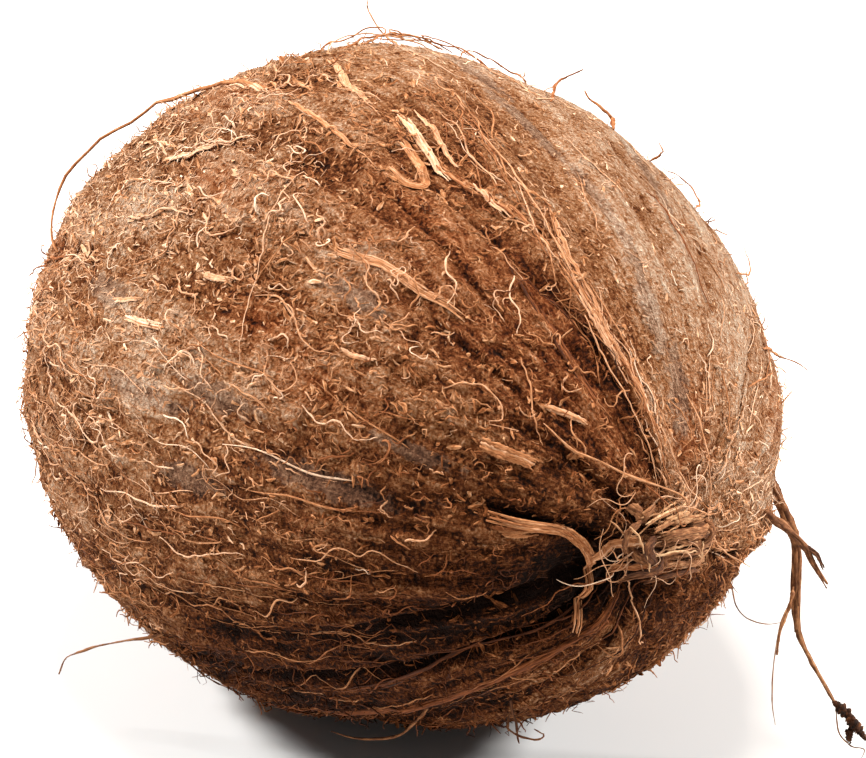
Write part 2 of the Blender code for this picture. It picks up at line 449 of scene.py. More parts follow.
def make_strands(name, strands, sides, material, rough=0.0, smooth=True):
    """Strands as an ellipse carried along each route. Its first half axis lies across the route and along
    the coat, and its second along the outward direction, so that a strap lies flat. Each corner of the
    ellipse is moved in or out by up to the rough share. Both ends are closed by a small flat face. The
    texture map has a column for each level of tone, as wide as a strand is round, and the strand runs up it
    from a start of its own."""
    rng = np.random.default_rng(len(name))
    count, steps = strands.routes.shape[:2]
    ahead = unit(np.gradient(strands.routes, axis=1))
    across = unit(np.cross(strands.outward, ahead))
    off = np.cross(ahead, across)
    round_it = np.linspace(0, FULL_TURN, sides, endpoint=False)
    wide = (strands.half_width[..., None] * np.cos(round_it))[..., None] * across[:, :, None]
    thick = (strands.half_thickness[..., None] * np.sin(round_it))[..., None] * off[:, :, None]
    uneven = 1 + rough * rng.uniform(-1, 1, (count, steps, sides, 1))
    places = strands.routes[:, :, None] + (wide + thick) * uneven
    places[..., 2] = np.maximum(places[..., 2], 0)
    here = np.arange(sides)
    after = (here + 1) % sides
    step = np.arange(steps - 1)[:, None] * sides
    ring = (step + here, step + after, step + after + sides, step + here + sides)
    quad = np.stack(np.broadcast_arrays(*ring), axis=-1)
    base = np.arange(count)[:, None, None] * steps * sides
    quads = (base + quad.reshape(-1, 4)[None]).reshape(-1, 4)
    roots = (base[:, 0] + here[::-1]).reshape(-1, sides)
    tips = (base[:, 0] + (steps - 1) * sides + here).reshape(-1, sides)
    level = np.floor(np.clip(strands.tone, 0, 0.999) * TONES)[:, None, None]
    spread = (level + 0.5 + 0.4 * np.cos(round_it)) / TONES
    reach = np.linalg.norm(np.diff(strands.routes, axis=1), axis=-1).sum(axis=1) / MM * MAP_PER_MM
    reach = np.minimum(reach, 0.95)
    start = rng.uniform(0, 1, count) * (1 - reach)
    along = (start[:, None] + reach[:, None] * np.linspace(0, 1, steps))[..., None]
    uv = np.stack(np.broadcast_arrays(spread, along), -1).reshape(-1, 2)
    corners = np.concatenate([quads.ravel(), roots.ravel(), tips.ravel()])
    return mesh_piece(name, places.reshape(-1, 3), [quads, roots, tips], uv[corners], material, smooth)


def taper(steps, root, tip):
    """Thickness along a strand as a share: root at the start, one over the middle, tip at the end."""
    share = np.linspace(0, 1, steps)
    return np.minimum(1, root + (1 - root) * share / 0.12) * (1 - (1 - tip) * share**2.2)


def short_routes(rng, headings, bearing, length, bend, wobble, lift, steps):
    """Routes over the coat from their roots. A plane curve, whose bearing turns steadily by bend, swings by
    wobble and kinks by a third of that at each step, is laid on the ball round the root and carried to the
    coat, then lifted off it along the normal. lift is strand by step, in metres."""
    count = len(headings)
    share = np.linspace(0, 1, steps)
    angle, turn = angle_and_turn(headings)
    back = heading_to(angle + 90, turn)
    side = np.cross(headings, back)
    waves = rng.uniform(0.8, 2.2, (count, 1))
    phase = rng.uniform(0, FULL_TURN, (count, 1))
    way = np.radians(bearing[:, None] + bend[:, None] * (share - 0.2))
    way = way + np.radians(wobble[:, None]) * np.sin(FULL_TURN * waves * share + phase)
    way = way + np.radians(wobble[:, None] / 3) * np.cumsum(rng.normal(0, 1, (count, steps)), axis=1)
    stride = length[:, None] / (steps - 1) / MEAN_RADIUS
    ahead = np.cumsum(stride * np.cos(way), axis=1) - stride * np.cos(way[:, :1])
    aside = np.cumsum(stride * np.sin(way), axis=1) - stride * np.sin(way[:, :1])
    path = unit(headings[:, None] + ahead[..., None] * back[:, None] + aside[..., None] * side[:, None])
    place, normal, _ = coat(path)
    return place + normal * lift[..., None], normal


def scattered(rng, count, density):
    """Unit vectors spread at random over the nut, kept in proportion to the density at their place."""
    kept = np.zeros((0, 3))
    while len(kept) < count:
        tries = unit(rng.normal(size=(4 * count, 3)))
        kept = np.concatenate([kept, tries[rng.random(len(tries)) < density(tries)]])
    return kept[:count]


# ---------------------------------------------------------------- materials

def linear(code):
    """A colour given as an sRGB hex code, in linear light and opaque."""
    shades = [int(code[at:at + 2], 16) / 255 for at in (1, 3, 5)]
    return tuple(s / 12.92 if s <= 0.04045 else ((s + 0.055) / 1.055) ** 2.4 for s in shades) + (1.0,)


def add(tree, kind, links=None, stops=None, **settings):
    """Adds a shader node. Settings are its properties or the values of its inputs, links join its inputs to
    other nodes' outputs, and stops are a ramp's places and hex colours."""
    made = tree.nodes.new("ShaderNode" + kind)
    for name, value in settings.items():
        if hasattr(made, name):
            setattr(made, name, value)
        else:
            made.inputs[name.replace("_", " ")].default_value = value
    for name, source in (links or {}).items():
        tree.links.new(source, made.inputs[name])
    if stops:
        while len(made.color_ramp.elements) < len(stops):
            made.color_ramp.elements.new(0.5)
        for element, (at, shade) in zip(made.color_ramp.elements, stops):
            element.position = at
            element.color = linear(shade)
    return made


def new_material(name, **settings):
    """A material with its shader's own values set: returns it, its tree and its shader."""
    made = bpy.data.materials.new(name)
    made.use_nodes = True
    tree = made.node_tree
    shader = next(item for item in tree.nodes if item.type == "BSDF_PRINCIPLED")
    for setting, value in settings.items():
        shader.inputs[setting.replace("_", " ")].default_value = value
    return made, tree, shader


A, B = 6, 7  # a Mix node's colour inputs
MIXED = 2  # and its colour output

# Dry coir, from the shade in its pits to its palest fibres.
COIR_SHADES = (
    (0.0, "#1B0A02"), (0.18, "#431F09"), (0.36, "#743E1C"), (0.54, "#A36D45"), (0.70, "#C19371"),
    (0.85, "#D4B295"), (1.0, "#E2C9AE"),
)
# Crumbs of it, which are dusty with pith.
CRUMB_SHADES = (
    (0.0, "#1D0D04"), (0.18, "#45230C"), (0.36, "#764323"), (0.54, "#A47049"), (0.70, "#C09573"),
    (0.85, "#D4B496"), (1.0, "#E2CAB0"),
)
# The skin under the fibres, where it is rubbed bare.
BARE_SHADES = ((0.0, "#241711"), (0.3, "#634838"), (0.54, "#8F705B"), (0.75, "#B0917A"), (1.0, "#D8C0AA"))
# Husk strands dried to wood.
WOOD_SHADES = ((0.0, "#1B0C04"), (0.3, "#502C15"), (0.55, "#865735"), (0.8, "#B48A63"), (1.0, "#D8B88F"))
# Matt paint, which is nearly even.
BOARD_SHADES = ((0.0, "#D2D1CF"), (1.0, "#D6D5D3"))
RUST_TINT = "#F6DBC6"  # multiplies the coat's colour in its reddish patches


def summed(tree, first, terms):
    """The first value, if any, with each term's output times its weight added, as a chain of nodes."""
    total = first
    for output, weight in terms:
        step = add(tree, "Math", {0: output}, operation="MULTIPLY_ADD")
        if total is None:
            step.inputs[2].default_value = 0
        else:
            tree.links.new(total, step.inputs[2])
        if isinstance(weight, (int, float)):
            step.inputs[1].default_value = weight
        else:
            tree.links.new(weight, step.inputs[1])
        total = step.outputs[0]
    return total


def coir_mat():
    """Coconut coir, matted and torn as the husk was pulled off: dull warm brown, of crumbs of pith that each
    stand up round and keep a brown of their own, with painted shade between them, in pits and in the low
    places of the relief, streaked end to end where it is scraped, reddish in patches and greyer where the
    skin below is rubbed bare."""
    made, tree, shader = new_material("matted_coir_torn", Roughness=0.88, IOR=1.46, Specular_IOR_Level=0.08)
    place = add(tree, "TexCoord").outputs["Object"]
    height, tone, bare, rust, smooth, lined, along, flaked = (
        add(tree, "Attribute", attribute_name=name)
        for name in ("height", "tone", "bare", "rust", "smooth", "lined", "along", "flaked")
    )

    def ranged(value, low, high, to_low, to_high):
        """A value carried from one range to another, and held to its ends."""
        return add(tree, "MapRange", {"Value": value}, From_Min=low, From_Max=high, To_Min=to_low,
                   To_Max=to_high).outputs["Result"]

    def speckle(vector, size, detail, low, high):
        """Noise of a real size, spread from -1 to 1."""
        fine = add(tree, "TexNoise", {"Vector": vector}, Scale=1 / size, Detail=detail, Roughness=0.65)
        return ranged(fine.outputs["Fac"], low, high, -1, 1)

    astray = add(tree, "TexNoise", {"Vector": place}, Scale=1 / (0.8 * MM), Detail=2)
    shift = add(tree, "VectorMath", {0: astray.outputs["Color"]}, operation="SCALE", Scale=1.6 * MM)

    def crumbs(vector, size):
        """Cells of a real size, pulled out of shape: how high each stands, round, and a number of its own."""
        pulled = add(tree, "VectorMath", {0: vector, 1: shift.outputs["Vector"]}, operation="ADD")
        cells = add(tree, "TexVoronoi", {"Vector": pulled.outputs["Vector"]}, Scale=1 / size)
        own = add(tree, "SeparateColor", {"Color": cells.outputs["Color"]})
        return ranged(cells.outputs["Distance"], 0.05, 0.8, 1, -1), ranged(own.outputs["Red"], 0, 1, -1, 1)

    large, large_own = crumbs(flaked.outputs["Vector"], 1.5 * MM)
    small, small_own = crumbs(place, 0.75 * MM)
    speck = speckle(place, 0.45 * MM, 4, 0.36, 0.64)
    streak = speckle(along.outputs["Vector"], 0.9 * MM, 3, 0.35, 0.65)
    pit = ranged(speckle(place, 1.8 * MM, 2, 0.3, 0.7), -0.36, -0.6, 0, 1)
    # Painted shade: the colour darkens in the low places of the coat's relief.
    sunk = ranged(height.outputs["Fac"], -1.6, 0.5, -0.46, 0.07)
    crumbly = ranged(smooth.outputs["Fac"], 0, 1, 1, 0.85)
    streaky = ranged(lined.outputs["Fac"], 0, 1, 0.3, 1.2)

    # The crumbs' heights and the pits paint shade where the bump is low; each crumb's own number gives it a
    # brown of its own.
    crumb_tone_and_painted_shade = summed(tree, None, [
        (large, 0.09), (small, 0.07), (large_own, 0.04), (small_own, 0.04), (pit, -0.14),
    ])
    # Speck and streak also darken where the bump is low, partly as painted shade.
    shade = summed(tree, tone.outputs["Fac"], [
        (crumb_tone_and_painted_shade, crumbly), (speck, 0.14), (streak, 0.07), (sunk, 1.0),
    ])
    coir_colour = add(tree, "ValToRGB", {"Fac": shade}, COIR_SHADES).outputs["Color"]
    bare_colour = add(tree, "ValToRGB", {"Fac": shade}, BARE_SHADES).outputs["Color"]
    reddened = {0: rust.outputs["Fac"], A: coir_colour}
    rusty = add(tree, "Mix", reddened, data_type="RGBA", blend_type="MULTIPLY")
    rusty.inputs[B].default_value = linear(RUST_TINT)
    ragged_bare = summed(tree, bare.outputs["Fac"], [(speckle(place, 1.6 * MM, 4, 0.2, 0.8), 0.55)])
    bare_share = ranged(ragged_bare, 0.36, 0.56, 0, 0.62)
    colour = add(tree, "Mix", {0: bare_share, A: rusty.outputs[MIXED], B: bare_colour}, data_type="RGBA")
    tree.links.new(colour.outputs[MIXED], shader.inputs["Base Color"])

    stands = summed(tree, None, [(large, 0.36), (small, 0.24), (large_own, 0.05), (pit, -0.4)])
    lines = summed(tree, None, [(streak, 0.28)])
    relief = summed(tree, None, [(stands, crumbly), (lines, streaky), (speck, 0.36)])
    bump = add(tree, "Bump", {"Height": relief}, Strength=1.0, Distance=1 * MM)
    tree.links.new(bump.outputs["Normal"], shader.inputs["Normal"])
    return made


def fibre_material(name, shades, mottle, **settings):
    """A fibre's colour by the tone each strand has, mottled and streaked along it by noise on its texture
    map, which is drawn a few times finer round the strand than along it."""
    made, tree, shader = new_material(name, **settings)
    strand = add(tree, "UVMap", uv_map="OFBake").outputs["UV"]
    split = add(tree, "SeparateXYZ", {"Vector": strand})
    drawn = add(tree, "VectorMath", {0: strand}, operation="MULTIPLY")
    drawn.inputs[1].default_value = (TONES * 2.5, 0.9 / MAP_PER_MM, 1)
    patchy = add(tree, "TexNoise", {"Vector": drawn.outputs["Vector"]}, Scale=1.0, Detail=3, Roughness=0.6)
    spread = add(tree, "MapRange", {"Value": patchy.outputs["Fac"]}, From_Min=0.35, From_Max=0.65,
                 To_Min=-mottle, To_Max=mottle)
    total = add(tree, "Math", {0: split.outputs["X"], 1: spread.outputs["Result"]}, operation="ADD")
    tone = add(tree, "ValToRGB", {"Fac": total.outputs[0]}, shades)
    tree.links.new(tone.outputs["Color"], shader.inputs["Base Color"])
    return made


def coir_crumb():
    """Torn coir and pith crumbs, dry and dusty: the coat's own browns, with no gloss."""
    return fibre_material(
        "torn_coir_crumbs", CRUMB_SHADES, 0.16, Roughness=0.88, IOR=1.46, Specular_IOR_Level=0.08,
    )


def coir_fibre():
    """Single coir fibres, dry and hard: dark brown to straw, with the low gloss of a plant fibre."""
    return fibre_material(
        "dry_coir_fibre", COIR_SHADES, 0.10, Roughness=0.8, IOR=1.5, Specular_IOR_Level=0.15,
    )


def woody_strand():
    """Husk strands dried to wood, as at the stem end: weathered brown, matt, with darker grain."""
    return fibre_material(
        "weathered_husk_strand", WOOD_SHADES, 0.16, Roughness=0.85, IOR=1.5, Specular_IOR_Level=0.2,
    )


def studio_board():
    """Matt painted board: an even pale grey-white that only takes soft shadows."""
    made, tree, shader = new_material("matt_painted_board", Roughness=0.9)
    mottle = add(tree, "TexNoise", Scale=1 / (4 * MM), Detail=2)
    tone = add(tree, "ValToRGB", {"Fac": mottle.outputs["Fac"]}, BOARD_SHADES)
    tree.links.new(tone.outputs["Color"], shader.inputs["Base Color"])
    return made


# ---------------------------------------------------------------- fibres that grow at random

def strand_tone(rng, headings, lighter, spread):
    """Tone of strands at their place: that of the coat there, with its painted light and shade, lighter by
    the given amount, with a spread.
    """
    return np.clip(coat_tone_and_painted_shade(headings) + lighter + spread * rng.normal(size=len(headings)), 0.04, 0.98)


def share_of(headings, base, ragged, smooth, beside, lined):
    """A density for scattered(): the base, more on the ragged face and less on the other kinds of coat."""
    angle, turn = angle_and_turn(headings)
    share = base + ragged * ragged_side(angle, turn) - smooth * smooth_side(angle, turn)
    return share - beside * beside_keel(angle, turn) - lined * lined_side(angle, turn)


def clumps(headings, pitch, seed, low, high):
    """A density from 0 to 1 in clumps, as noise of this pitch in mm goes from the low to the high level."""
    return ramp_up(noise(ovoid(headings), pitch * MM, seed), low, high)


def off_bare(headings, share):
    """A density that is lower by this share where the coat is rubbed bare."""
    return 1 - share * patches(*angle_and_turn(headings), BARE)


def either_way(rng, spread, count):
    """Bearings in degrees that lie along the nut, towards the eyes or away from them, with a spread."""
    return rng.normal(0, spread, count) + 180 * (rng.random(count) < 0.5)


def make_flakes(name, seed, count, material):
    """Flakes and crumbs of torn coir and pith that lie half sunk in the coat, one end lifted: short, angular
    and of the coat's own browns."""
    rng = np.random.default_rng(seed)

    def density(headings):
        share = share_of(headings, 0.95, ragged=0, smooth=0.55, beside=0.5, lined=0.4)
        return share * clumps(headings, 4, 23, -1.0, 0.3) * off_bare(headings, 0.85)

    steps = 3
    headings = scattered(rng, count, density)
    smooth = smooth_side(*angle_and_turn(headings))
    length = rng.uniform(0.5, 2.3, count) * MM
    bearing = either_way(rng, 55 - 35 * smooth, count)
    raised = (rng.uniform(0.0, 1.0, count) ** 3 * 0.9 * (1 - 0.65 * smooth))[:, None]
    lift = (-0.14 + raised * np.linspace(0, 1, steps)) * MM
    bend = rng.normal(0, 60, count)
    routes, normals = short_routes(rng, headings, bearing, length, bend, 20 + 0 * bend, lift, steps)
    wide = (0.09 + 0.28 * rng.uniform(0, 1, count) ** 1.8) * (1 - 0.3 * smooth)
    wide = wide[:, None] * MM * np.array([0.7, 1.0, 0.45])
    tone = strand_tone(rng, headings, -0.06, 0.07)
    flakes = Strands(routes, normals, wide, np.minimum(0.5 * wide, 0.13 * MM), tone)
    make_strands(name, flakes, 4, material, rough=0.45, smooth=False)


def make_stubble(name, seed, count, material):
    """Short fibre ends that curl off the coat all over, thick where it is ragged, thin where it is scraped or
    ribbed, and fewest where it is bare."""
    rng = np.random.default_rng(seed)

    def density(headings):
        share = share_of(headings, 0.55, ragged=0.4, smooth=0.48, beside=0.45, lined=0.35)
        return share * clumps(headings, 6, 21, -0.8, 0.5) * off_bare(headings, 0.8)

    steps = 5
    headings = scattered(rng, count, density)
    smooth = smooth_side(*angle_and_turn(headings))
    length = rng.uniform(0.7, 2.8, count) * MM
    bearing = either_way(rng, 60 - 42 * smooth, count)
    bend = rng.normal(0, 90 - 60 * smooth)
    wobble = rng.uniform(5, 40, count) * (1 - 0.6 * smooth)
    share = np.linspace(0, 1, steps)
    high = rng.uniform(0.0, 1.0, count) ** 2 * 0.6 * MM * (1 - 0.6 * smooth)
    lift = high[:, None] * share**1.2 - 0.08 * MM * (1 - share)
    routes, normals = short_routes(rng, headings, bearing, length, bend, wobble, lift, steps)
    radius = rng.uniform(0.04, 0.085, count)[:, None] * MM * taper(steps, 0.6, 0.4)
    tone = strand_tone(rng, headings, -0.03, 0.08)
    make_strands(name, Strands(routes, normals, radius * 1.3, radius * 0.8, tone), 3, material)


def make_standing_hairs(material):
    """Hairs that stand off the coat by up to 2.2 mm and make its outline fuzzy, few on the scraped face."""
    rng = np.random.default_rng(51)

    def density(headings):
        angle, turn = angle_and_turn(headings)
        scraped = between(turn_gap(turn, -28), -27, 27, 5) * between(angle, 22, 100, 6)
        return share_of(headings, 0.7, ragged=0.3, smooth=0, beside=0.4, lined=0) - 0.6 * scraped

    count, steps = 2500, 7
    headings = scattered(rng, count, density)
    length = rng.uniform(1.0, 4.5, count) * MM
    bearing = rng.uniform(-180, 180, count)
    share = np.linspace(0, 1, steps)
    lift = rng.uniform(0.3, 2.3, (count, 1)) * MM * share**rng.uniform(0.8, 2.0, (count, 1)) - 0.1 * MM
    wobble = rng.uniform(20, 80, count)
    bend = rng.normal(0, 140, count)
    routes, normals = short_routes(rng, headings, bearing, length, bend, wobble, lift, steps)
    radius = rng.uniform(0.06, 0.16, count)[:, None] * MM * taper(steps, 0.8, 0.45)
    tone = strand_tone(rng, headings, -0.04, 0.10)
    make_strands("standing_hairs", Strands(routes, normals, radius, radius, tone), 4, material)


def make_curls(material):
    """Longer loose fibres that wander and curl over the coat, most of them on the ragged face."""
    rng = np.random.default_rng(31)

    def density(headings):
        share = share_of(headings, 0.25, ragged=0.7, smooth=0.2, beside=0, lined=0)
        return share * clumps(headings, 11, 22, -0.5, 0.6) * ramp_up(angle_and_turn(headings)[0], 14, 30)

    count, steps = 560, 17
    headings = scattered(rng, count, density)
    length = rng.uniform(2.0, 7.5, count) * MM
    bearing = either_way(rng, 60, count)
    bend = rng.normal(0, 110, count)
    wobble = rng.uniform(15, 55, count)
    share = np.linspace(0, 1, steps)
    height = rng.uniform(0.1, 1.2, (count, 1)) * MM
    arch = height * np.sin(math.pi * share * rng.uniform(0.5, 1.0, (count, 1)))
    lift = arch + 0.15 * MM - 0.25 * MM * bell(share, 0.06)
    routes, normals = short_routes(rng, headings, bearing, length, bend, wobble, lift, steps)
    radius = rng.uniform(0.06, 0.15, count)[:, None] * MM * taper(steps, 0.6, 0.4)
    tone = strand_tone(rng, headings, 0.03, 0.12)
    curls = Strands(routes, normals, radius * 1.2, radius * 0.7, tone)
    make_strands("curled_fibres", curls, 5, material, rough=0.25)


def lengthwise_routes(rng, start, finish, turn, drift, sway, lift, steps):
    """Routes that run end to end: the angle goes from start to finish while the turn drifts and sways."""
    count = len(start)
    share = np.linspace(0, 1, steps)
    angle = start[:, None] + (finish - start)[:, None] * share
    waves = rng.uniform(0.5, 2.0, (count, 1))
    phase = rng.uniform(0, FULL_TURN, (count, 1))
    turned = turn(angle) + drift[:, None] * (share - 0.5)
    turned = turned + sway[:, None] * np.sin(FULL_TURN * waves * share + phase)
    place, normal, _ = coat(heading_to(angle, turned))
    return place + normal * lift[..., None], normal


# Strands laid end to end: the line they follow, how many, their spread in turn, the angles from and to which
# they start, and how much lighter than the coat they are. The last two lines are the middles of faces.
LAID_ALONG = (
    (top_keel, 60, 3.0, 6, 80, -0.02),
    (low_keel, 90, 13, 8, 130, -0.05),
    (far_keel, 90, 7, 8, 130, 0.04),
    (lambda angle: -52 + 0 * angle, 50, 30, 8, 105, -0.06),
    (lambda angle: 98 + 0 * angle, 120, 22, 40, 125, 0.04),
)


def make_keel_strands(material):
    """Long strands laid along the three keels and their furrows, and over two of the faces between."""
    rng = np.random.default_rng(41)
    steps = 20
    share = np.linspace(0, 1, steps)
    groups = []
    for line, count, spread, first, last, lighter in LAID_ALONG:
        start = rng.uniform(first, last, count)
        finish = np.minimum(start + rng.uniform(5, 20, count), last + 12)
        offset = rng.normal(0, spread, count)
        lift = 0.04 * MM + rng.uniform(0, 0.7, (count, 1)) ** 2 * MM * np.sin(math.pi * share)
        route, normal = lengthwise_routes(
            rng, start, finish, lambda angle: line(angle) + offset[:, None],
            rng.normal(0, 3, count), rng.uniform(0.2, 1.4, count), lift, steps,
        )
        radius = rng.uniform(0.04, 0.12, count)[:, None] * MM * taper(steps, 0.4, 0.35)
        tone = strand_tone(rng, heading_to(start, line(start) + offset), lighter, 0.13)
        groups.append(Strands(route, normal, radius * 1.5, radius * 0.8, tone))
    make_strands("keel_strands", joined(groups), 4, material)


# ---------------------------------------------------------------- fibres placed one by one

def curve_through(points, at):
    """Catmull-Rom curve through the points, read at shares from 0 to 1 of its length in points."""
    points = np.array(points, dtype=float)
    padded = np.concatenate([2 * points[:1] - points[1:2], points, 2 * points[-1:] - points[-2:-1]])
    scaled = np.asarray(at) * (len(points) - 1)
    first = np.clip(scaled.astype(int), 0, len(points) - 2)
    share = (scaled - first)[..., None]
    before, here, after, beyond = (padded[first + step] for step in range(4))
    return 0.5 * (
        2 * here + (after - before) * share + (2 * before - 5 * here + 4 * after - beyond) * share**2
        + (3 * here - before - 3 * after + beyond) * share**3
    )


def laid_route(points, at):
    """A route on the coat through (angle, turn, lift in mm) points, and its outward directions."""
    table = np.array([(*point, 0.0)[:3] for point in points], dtype=float)
    read = curve_through(np.concatenate([heading_to(table[:, 0], table[:, 1]), table[:, 2:]], axis=1), at)
    place, normal, _ = coat(unit(read[..., :3]))
    return place + normal * read[..., 3:] * MM, normal


def hung_route(points, at):
    """A route through the air by (x, y, z) points in mm from the nut's middle, and its outward directions."""
    read = curve_through(points, at) * MM
    return MIDDLE + read, unit(read / HALF**2)


BUNDLE_STEPS = 26  # points along each thread


def bundle(
    rng, route_of, points, width, threads, tone, ragged=0.25, lift=0.0, lumps=0.15, flat=0.5, roped=False,
):
    """A strap or rope of threads along one route, width mm across in all. A strap's threads lie side by side
    and overlap, and a rope's stand in a ring. Each starts and stops within the ragged share of the ends,
    strays a little from its row, and is lumpy along its length."""
    place = (np.arange(threads) + 0.5) / threads
    row = place - 0.5 if threads > 1 else np.zeros(1)
    start = rng.uniform(0, ragged, threads) * (threads > 1)
    stop = 1 - rng.uniform(0, ragged, threads) * (threads > 1)
    share = np.linspace(0, 1, BUNDLE_STEPS)
    at = start[:, None] + (stop - start)[:, None] * share
    route, outward = route_of(points, at)
    across = unit(np.cross(outward, unit(np.gradient(route, axis=1))))
    splay = 1 + 0.2 * bell(at, 0.06) + 0.2 * bell(at - 1, 0.06)
    waves = rng.uniform(0.5, 2.5, (threads, 1))
    phase = rng.uniform(0, FULL_TURN, (threads, 1))
    stray = np.sin(FULL_TURN * waves * share + phase)
    stray = stray + 0.6 * np.sin(FULL_TURN * 3.1 * waves * share - phase)
    stray *= 0.03 * width if threads > 1 else 0.12
    if roped:
        radius = 0.28 * width
        aside, off = 0.26 * width * np.cos(FULL_TURN * place), 0.26 * width * np.sin(FULL_TURN * place)
    else:
        radius = 0.5 * width if threads == 1 else 1.05 * width / threads
        aside, off = width * row, flat * radius * (0.3 + 0.9 * rng.uniform(0, 1, threads)) * (threads > 1)
    route = route + across * ((aside[:, None] * splay + stray) * MM)[..., None]
    route = route + outward * ((lift + np.broadcast_to(off, threads)[:, None] + 0 * at) * MM)[..., None]
    lumpy = lumps * np.sin(FULL_TURN * waves * 2.3 * share + 2 * phase)
    lumpy = 1 + lumpy * rng.uniform(0.3, 1, (threads, 1))
    half = radius * MM * lumpy * taper(BUNDLE_STEPS, 0.5, 0.4)
    tones = np.clip(tone + 0.07 * rng.normal(size=threads), 0.02, 0.98)
    return Strands(route, outward, half, half * flat, tones)


# Straps torn loose along the grain and pressed on the coat: width in mm, threads, tone, how ragged the ends
# are, lift in mm, and the route's (angle, turn, more lift).
STRAPS = (
    (1.1, 6, 0.62, 0.30, 0.05, ((107, 2.5), (100, 5), (94, 8), (88, 9.5), (83, 10.5))),
    (1.2, 6, 0.74, 0.25, 0.25, ((83, 7.5), (79, 9), (75, 10), (70, 11.5), (67, 12))),
    (0.7, 4, 0.62, 0.30, 0.15, ((82, 5.5), (77, 6.5), (72, 8), (67, 9.5))),
    (1.2, 6, 0.54, 0.15, 0.15, ((79, 12), (75, 12.5), (71, 14), (68.5, 16), (70, 18.2), (74, 18.5))),
    (0.8, 4, 0.70, 0.25, 0.35, ((65, 9.5), (61, 9.5), (57, 9))),
    (0.7, 4, 0.52, 0.25, 0.10, ((98, 17), (92, 18), (86, 18.5), (80, 19), (74, 19.5))),
    (1.1, 5, 0.73, 0.22, 0.35, ((107, 36.5), (104, 35), (101, 33), (98, 30), (93, 25))),
    (1.1, 6, 0.74, 0.30, 0.15, ((119, 16), (110, 16), (101, 16))),
    (0.8, 3, 0.68, 0.20, 0.10, ((84.5, 50), (81, 49.5), (77.5, 48))),
    (1.3, 8, 0.60, 0.30, 0.05, ((73, 34), (68, 35), (62, 32.5), (57, 32), (53, 31), (48, 30))),
    (0.6, 3, 0.62, 0.30, 0.10, ((60, 50), (57, 49.5), (54, 48))),
    (0.6, 3, 0.66, 0.25, 0.10, ((96, 61), (93, 59.5), (90, 58))),
    (1.0, 5, 0.72, 0.30, 0.10, ((92, 62), (88, 61.5), (83, 60))),
    (1.6, 6, 0.50, 0.12, 0.20, ((37, 53, 0.6), (34, 52.5, 0.3), (31, 51.5), (28, 51))),
    (0.7, 3, 0.68, 0.20, 0.20, ((33.5, 34.5), (31, 32), (28, 29), (26, 28))),
    (0.9, 5, 0.62, 0.30, 0.05, ((44, 7), (36, 7.5), (28, 7))),
    (0.7, 5, 0.62, 0.35, 0.05, ((58, 0), (50, 3), (42, 5))),
    # the flat strap that crosses below the tuft, and the torn layer at its root
    (1.3, 6, 0.54, 0.12, 0.30, ((32, 72, 0.1), (27, 72.5, 0.6), (21, 72.5, 1.2), (17.5, 76, 1.9),
        (15.5, 84, 2.4), (14.5, 94, 2.2), (15, 106, 1.6), (18, 121, 1.0), (22, 131, 0.6))),
    (1.3, 6, 0.42, 0.30, 0.10, ((31, 77), (27, 76), (23, 75))),
    (1.2, 6, 0.48, 0.12, 0.60, ((7.5, 64, 2.4), (9.5, 70, 3.0), (12, 76, 3.0), (14, 88, 2.4),
        (15.5, 98, 1.2))),
    (1.0, 5, 0.42, 0.15, 0.50, ((2.5, 150, 2.6), (5, 139, 1.6), (8.5, 123, 0.8), (12, 111, 0.4))),
    # on the far side and the crown
    (1.3, 7, 0.62, 0.35, 0.10, ((118, 150), (104, 146), (92, 147), (80, 143))),
    (1.4, 7, 0.62, 0.30, 0.10, ((70, -128), (58, -126), (46, -127), (38, -124))),
    (1.0, 6, 0.64, 0.35, 0.10, ((132, -60), (122, -66), (112, -66), (104, -70))),
    (0.9, 5, 0.66, 0.35, 0.10, ((128, 170), (120, 176), (110, 178))),
    (1.1, 6, 0.60, 0.35, 0.10, ((60, -150), (50, -146), (42, -147))),
    (0.9, 5, 0.66, 0.35, 0.10, ((150, -120), (142, -106), (134, -102))),
)

# Ropes of strands that follow a keel: the keel, width in mm, threads, tone, and the (angle, offset) of
# their route from it. The narrow ones are laid flat, as straps.
FLAT_UP_TO = 1.4
ROPES = (
    (top_keel, 1.4, 9, 0.48, ((86, 11), (76, 9), (67, 6.5), (58, 2), (48, 0), (38, -1.5))),
    (top_keel, 1.3, 6, 0.46, ((48, 0), (40, -1.5), (33, -2.5), (26, -4), (18, -5), (11, -6))),
    (top_keel, 0.8, 5, 0.56, ((60, -3), (50, -2.5), (38, -3), (28, -3.5), (18, -5), (9, -9))),
    (top_keel, 1.0, 6, 0.30, ((56, 8), (44, 9), (34, 11), (24, 13), (14, 15))),
    (low_keel, 1.5, 8, 0.24, ((84, 0), (66, 1), (48, 0), (30, 0), (16, 2), (8, 6))),
    (low_keel, 1.2, 6, 0.20, ((70, -9), (54, -10), (38, -11), (24, -10), (14, -12))),
    (far_keel, 1.8, 8, 0.48, ((84, 0), (70, -1), (56, 1), (44, 0), (34, -1), (26, 0))),
)

